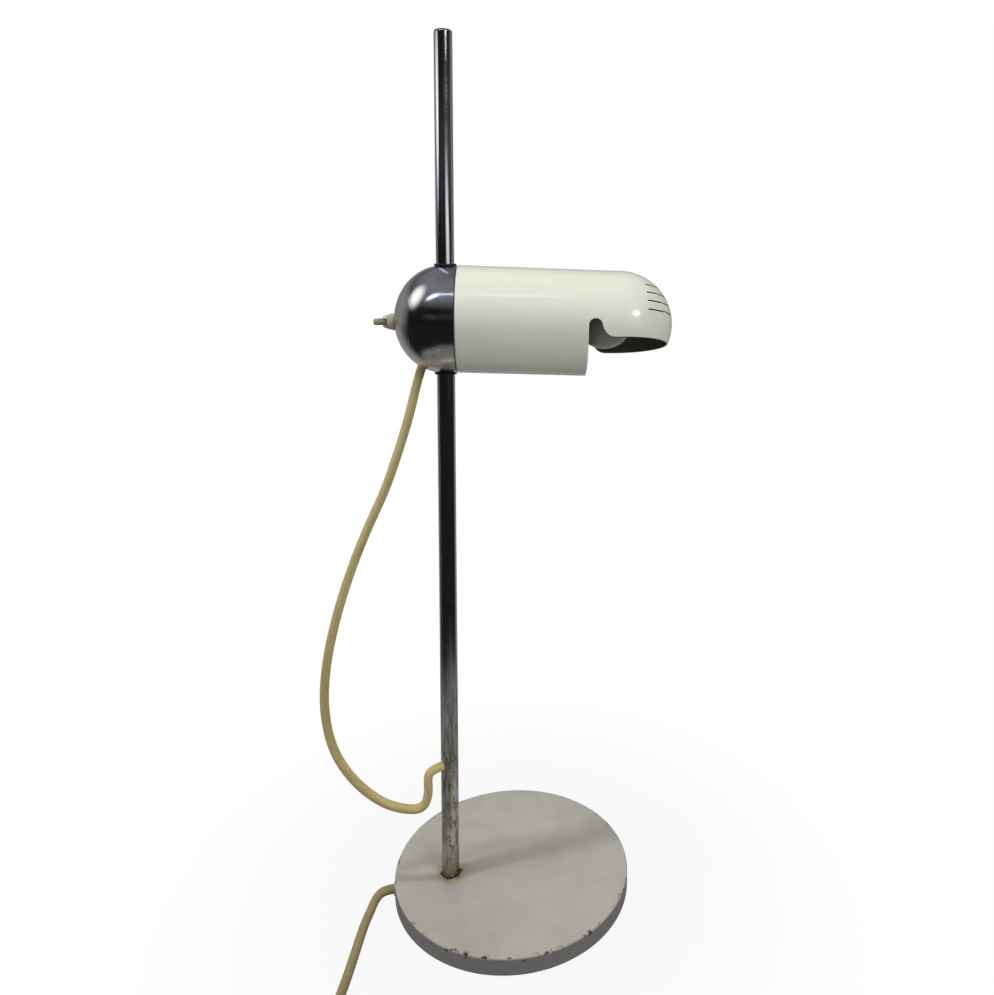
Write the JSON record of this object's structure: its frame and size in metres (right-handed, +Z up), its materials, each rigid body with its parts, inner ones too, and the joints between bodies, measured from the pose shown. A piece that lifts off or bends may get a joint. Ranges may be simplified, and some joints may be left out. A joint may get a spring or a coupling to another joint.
{
  "type": "desk lamp",
  "caption": "Desk lamp: a round-nosed cut-away shade on a ball that slides and turns on an off-centre pole over a heavy disc base.",
  "frame": {"origin": "centre of the base's underside, on the table", "axes": "+X along the shade's axis towards its nose, +Z up along the pole, +Y to the left of the shade's direction"},
  "size_m": [0.2667, 0.3768, 0.667],
  "materials": {
    "cream_enamel": "glossy cream enamel",
    "felt": "pressed felt",
    "chrome": "bright chrome plate",
    "steel": "zinc-plated steel",
    "black_plastic": "black nylon and moulded resin",
    "ivory_plastic": "aged ivory plastic",
    "ceramic": "glazed ceramic",
    "brass": "plain brass",
    "opal_glass": "opal white glass",
    "cord_sheath": "aged beige vinyl sheath"
  },
  "bodies": {
    "stand": {"base_plate": "cream_enamel", "base_felt": "felt", "cord_grommet": "ivory_plastic", "pole": "chrome", "pole_flange": "steel", "foot_screws": "steel", "cord_inner": "cord_sheath", "mains_cord": "cord_sheath", "cord_coil": "cord_sheath", "cord_tie": "black_plastic", "cord_tail": "cord_sheath", "plug_relief": "ivory_plastic", "plug_body": "ivory_plastic", "plug_pins": "brass", "cord_lower": "cord_sheath"},
    "slider": {"upper_bush": "black_plastic", "lower_bush": "black_plastic", "slide_tube": "steel", "grip_spring": "steel"},
    "head": {"ball_shell": "chrome", "rear_cap": "chrome", "switch_body": "black_plastic", "switch_nut": "ivory_plastic", "lever_pin": "steel", "shade_ring": "steel", "holder_plate": "steel", "holder_nipple": "steel", "nipple_nuts": "steel", "lamp_holder": "black_plastic", "holder_core": "ceramic", "bulb_cap": "brass", "bulb": "opal_glass", "cord_upper": "cord_sheath"},
    "lever": {"switch_lever": "ivory_plastic"},
    "shade": {"shade": "cream_enamel"}
  },
  "joints": [
    {"name": "head_height", "type": "slide", "parent": "stand", "child": "slider", "axis": [0, 0, 1], "range_m": [-0.11, 0.15], "deforming": ["cord_lower"]},
    {"name": "head_swivel", "type": "hinge", "parent": "slider", "child": "head", "pos_m": [-0.04902, -0.00689, 0.458], "axis": [0, 0, 1], "range_deg": [-120, 120], "deforming": ["cord_upper"]},
    {"name": "shade_roll", "type": "hinge", "parent": "head", "child": "shade", "pos_m": [-0.04902, -0.00689, 0.458], "axis": [1, 0, 0], "continuous": true},
    {"name": "switch_toggle", "type": "hinge", "parent": "head", "child": "lever", "pos_m": [-0.09262, -0.00689, 0.456], "axis": [0, 0, -1], "range_deg": [0, 24]}
  ]
}
